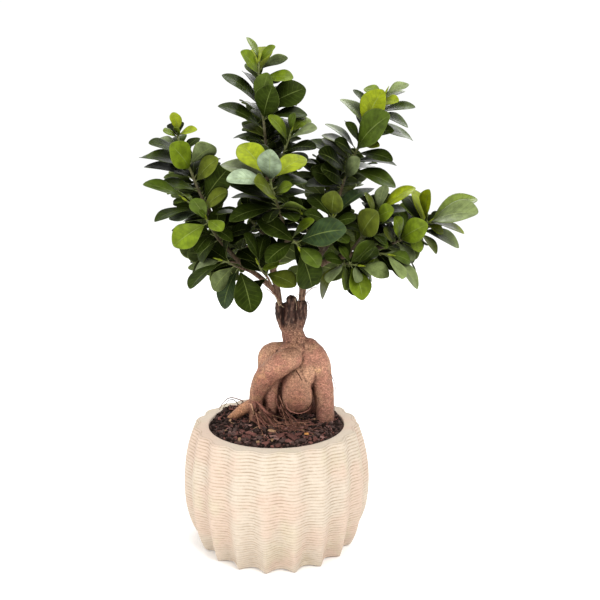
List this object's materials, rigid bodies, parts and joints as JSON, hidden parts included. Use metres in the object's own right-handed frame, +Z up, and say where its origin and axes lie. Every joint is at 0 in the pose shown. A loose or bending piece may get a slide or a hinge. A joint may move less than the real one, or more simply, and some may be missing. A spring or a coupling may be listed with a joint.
{
  "type": "ginseng ficus in a fluted pot",
  "caption": "Ginseng ficus with a swollen bare root, two grafted leafy branches and glossy leaves, standing in soil in a round fluted pot with fine ribs.",
  "frame": {"origin": "middle of the pot's foot, on the surface it stands on", "axes": "+Z up, -Y towards the viewer who sees the plant as pictured, +X to that viewer's right"},
  "size_m": [0.2729, 0.1916, 0.4207],
  "materials": {
    "pot": "matte, finely ribbed, unglazed",
    "soil": "loose dark potting mix with bark",
    "root": "warm tan living bark, satin",
    "branch_wood": "grey-brown bark, matte",
    "foliage": "waxy green leaves"
  },
  "bodies": {
    "root": {"pot": "pot", "soil": "soil", "caudex": "root", "branch_left": "branch_wood", "branch_right": "branch_wood", "shoot_crown": "foliage", "shoot_crown_side": "foliage", "shoot_centre_front": "foliage", "shoot_left": "foliage", "shoot_left_side": "foliage", "shoot_left_low": "foliage", "shoot_left_bottom": "foliage", "shoot_bottom_centre": "foliage", "shoot_bottom_left": "foliage", "shoot_centre_right": "foliage", "shoot_right_top": "foliage", "shoot_right_mid": "foliage", "shoot_right": "foliage", "shoot_right_low": "foliage", "shoot_right_under": "foliage", "shoot_inner_left": "foliage", "shoot_inner_centre": "foliage", "shoot_inner_right": "foliage", "shoot_inner_far": "foliage", "shoot_back_top": "foliage", "shoot_back_left": "foliage", "shoot_back_centre": "foliage", "shoot_back_low": "foliage", "shoot_low_left": "foliage", "shoot_back_right": "foliage", "shoot_back_high": "foliage", "shoot_low_right": "foliage", "shoot_far_right": "foliage", "shoot_under": "foliage"}
  },
  "joints": []
}
